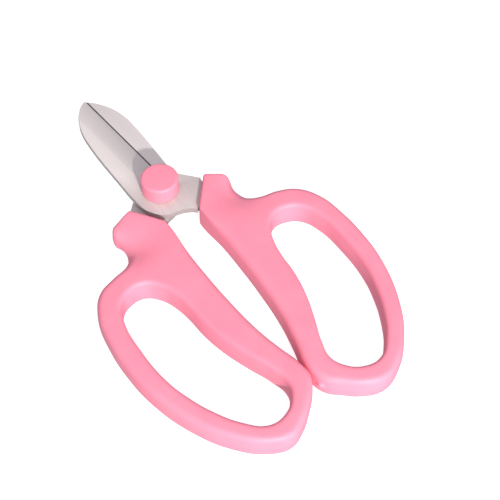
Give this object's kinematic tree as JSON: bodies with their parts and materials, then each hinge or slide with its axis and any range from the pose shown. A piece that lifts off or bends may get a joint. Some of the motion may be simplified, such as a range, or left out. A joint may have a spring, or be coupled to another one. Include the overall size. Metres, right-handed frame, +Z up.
{
  "type": "floral snips",
  "caption": "Bypass floral snips: two pointed steel halves on a capped pivot, each moulded into a closed plastic loop handle with a finger spur.",
  "frame": {"origin": "centre of the bounding box, on the surface that the closed snips lie on", "axes": "+Y from the handles to the blade tip, +Z up out of the capped side, +X towards the handle that carries the upper blade"},
  "size_m": [0.1008, 0.1698, 0.0153],
  "materials": {
    "upper_blade": "satin",
    "lower_blade": "satin",
    "right_handle": "fine satin, pink",
    "left_handle": "fine satin, pink",
    "pivot_cap": "fine satin, pink",
    "pivot_nut": "zinc plated",
    "pivot_bolt": "zinc plated",
    "spring_washer": "zinc plated",
    "flat_washer": "zinc plated",
    "head_washer": "zinc plated"
  },
  "bodies": {
    "upper_half": {"upper_blade": "upper_blade", "right_handle": "right_handle", "pivot_bolt": "pivot_bolt", "pivot_nut": "pivot_nut", "pivot_cap": "pivot_cap", "spring_washer": "spring_washer", "flat_washer": "flat_washer", "head_washer": "head_washer"},
    "lower_half": {"lower_blade": "lower_blade", "left_handle": "left_handle"}
  },
  "joints": [
    {"name": "pivot", "type": "hinge", "parent": "upper_half", "child": "lower_half", "pos_m": [0, 0.0279, 0.0056], "axis": [0, 0, -1], "range_deg": [0, 40]}
  ]
}
